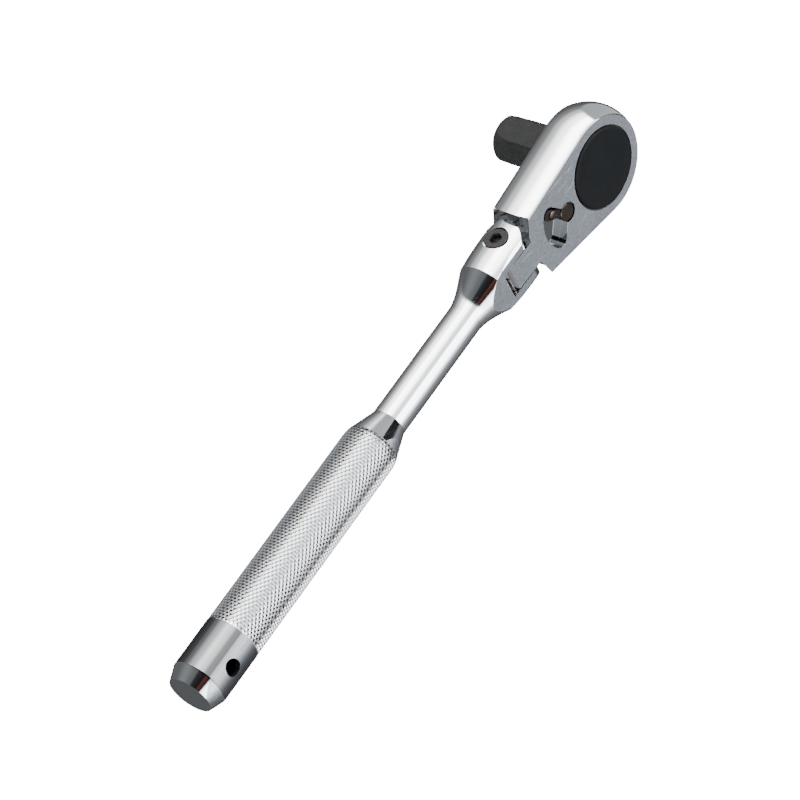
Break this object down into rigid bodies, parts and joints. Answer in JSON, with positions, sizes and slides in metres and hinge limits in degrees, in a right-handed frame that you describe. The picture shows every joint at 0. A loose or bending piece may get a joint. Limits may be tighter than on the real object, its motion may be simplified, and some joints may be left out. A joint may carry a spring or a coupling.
{
  "type": "ratchet wrench",
  "caption": "Flex-head ratchet wrench with a knurled round handle, a recessed reversing lever, a dark cover disc and a hexagon drive tang.",
  "frame": {"origin": "centre of the drive tang's end face", "axes": "-Z out of the tang's end along the drive axis, +X from the flex pivot towards the head's nose, +Y along the flex pivot towards its screw head; the handle rests 2.878 degrees off the -X direction, rising towards its end"},
  "size_m": [0.2279, 0.0368, 0.0483],
  "materials": {
    "handle_chrome": "polished",
    "screw_black": "black oxide",
    "ball_steel": "ground",
    "flex_spring_steel": "drawn wire",
    "head_chrome": "satin faces, polished sides",
    "flex_washer_left_steel": "plain",
    "flex_washer_right_steel": "plain",
    "cover_black": "black oxide, satin",
    "snap_ring_steel": "plain",
    "gasket_rubber": "matte",
    "washer_brass": "plain",
    "gear_black": "black oxide",
    "seal_rubber": "matte",
    "pawl_steel": "ground",
    "pawl_pin_steel": "ground",
    "plunger_steel": "ground",
    "plunger_spring_steel": "drawn wire",
    "lever_black": "black oxide, worn",
    "lever_seal_rubber": "matte",
    "lever_ring_steel": "plain"
  },
  "bodies": {
    "handle_body": {"handle": "handle_chrome", "pivot_screw": "screw_black", "flex_spring": "flex_spring_steel"},
    "flex_ball_body": {"flex_ball": "ball_steel"},
    "head_body": {"head_housing": "head_chrome", "flex_washer_left": "flex_washer_left_steel", "flex_washer_right": "flex_washer_right_steel", "cover_plate": "cover_black", "cover_snap_ring": "snap_ring_steel", "cover_gasket": "gasket_rubber", "thrust_washer": "washer_brass", "pawl_pin": "pawl_pin_steel", "lever_ring": "lever_ring_steel"},
    "drive_body": {"drive_gear": "gear_black", "drive_seal": "seal_rubber"},
    "pawl_body": {"pawl": "pawl_steel"},
    "lever_body": {"reversing_lever": "lever_black", "lever_seal": "lever_seal_rubber", "plunger_spring": "plunger_spring_steel"},
    "plunger_body": {"pawl_plunger": "plunger_steel"}
  },
  "joints": [
    {"name": "head_flex", "type": "hinge", "parent": "handle_body", "child": "head_body", "pos_m": [-0.0413, 0, 0.0313], "axis": [0, 1, 0], "range_deg": [-72.1, 77.9]},
    {"name": "flex_ball_push", "type": "slide", "parent": "handle_body", "child": "flex_ball_body", "axis": [0.9987, 0, -0.0502], "range_m": [-0.0008, 0], "stiffness_N_per_m": 500, "springref_m": 0.0005, "deforming": ["flex_spring"]},
    {"name": "drive_spin", "type": "hinge", "parent": "head_body", "child": "drive_body", "pos_m": [0, 0, 0.0313], "axis": [0, 0, 1], "continuous": true},
    {"name": "lever_swing", "type": "hinge", "parent": "head_body", "child": "lever_body", "pos_m": [-0.0188, 0, 0.03005], "axis": [0, 0, 1], "range_deg": [0, 76]},
    {"name": "pawl_rock", "type": "hinge", "parent": "head_body", "child": "pawl_body", "pos_m": [-0.013, 0, 0.03005], "axis": [0, 0, 1], "range_deg": [-7.5, 0]},
    {"name": "plunger_push", "type": "slide", "parent": "lever_body", "child": "plunger_body", "axis": [0.788, -0.6157, 0], "range_m": [-0.0004, 0], "stiffness_N_per_m": 300, "springref_m": 0.0005, "deforming": ["plunger_spring"]}
  ],
  "couplings": [
    {"joint": "pawl_rock", "follows": "lever_swing", "ratio": -0.098684}
  ]
}
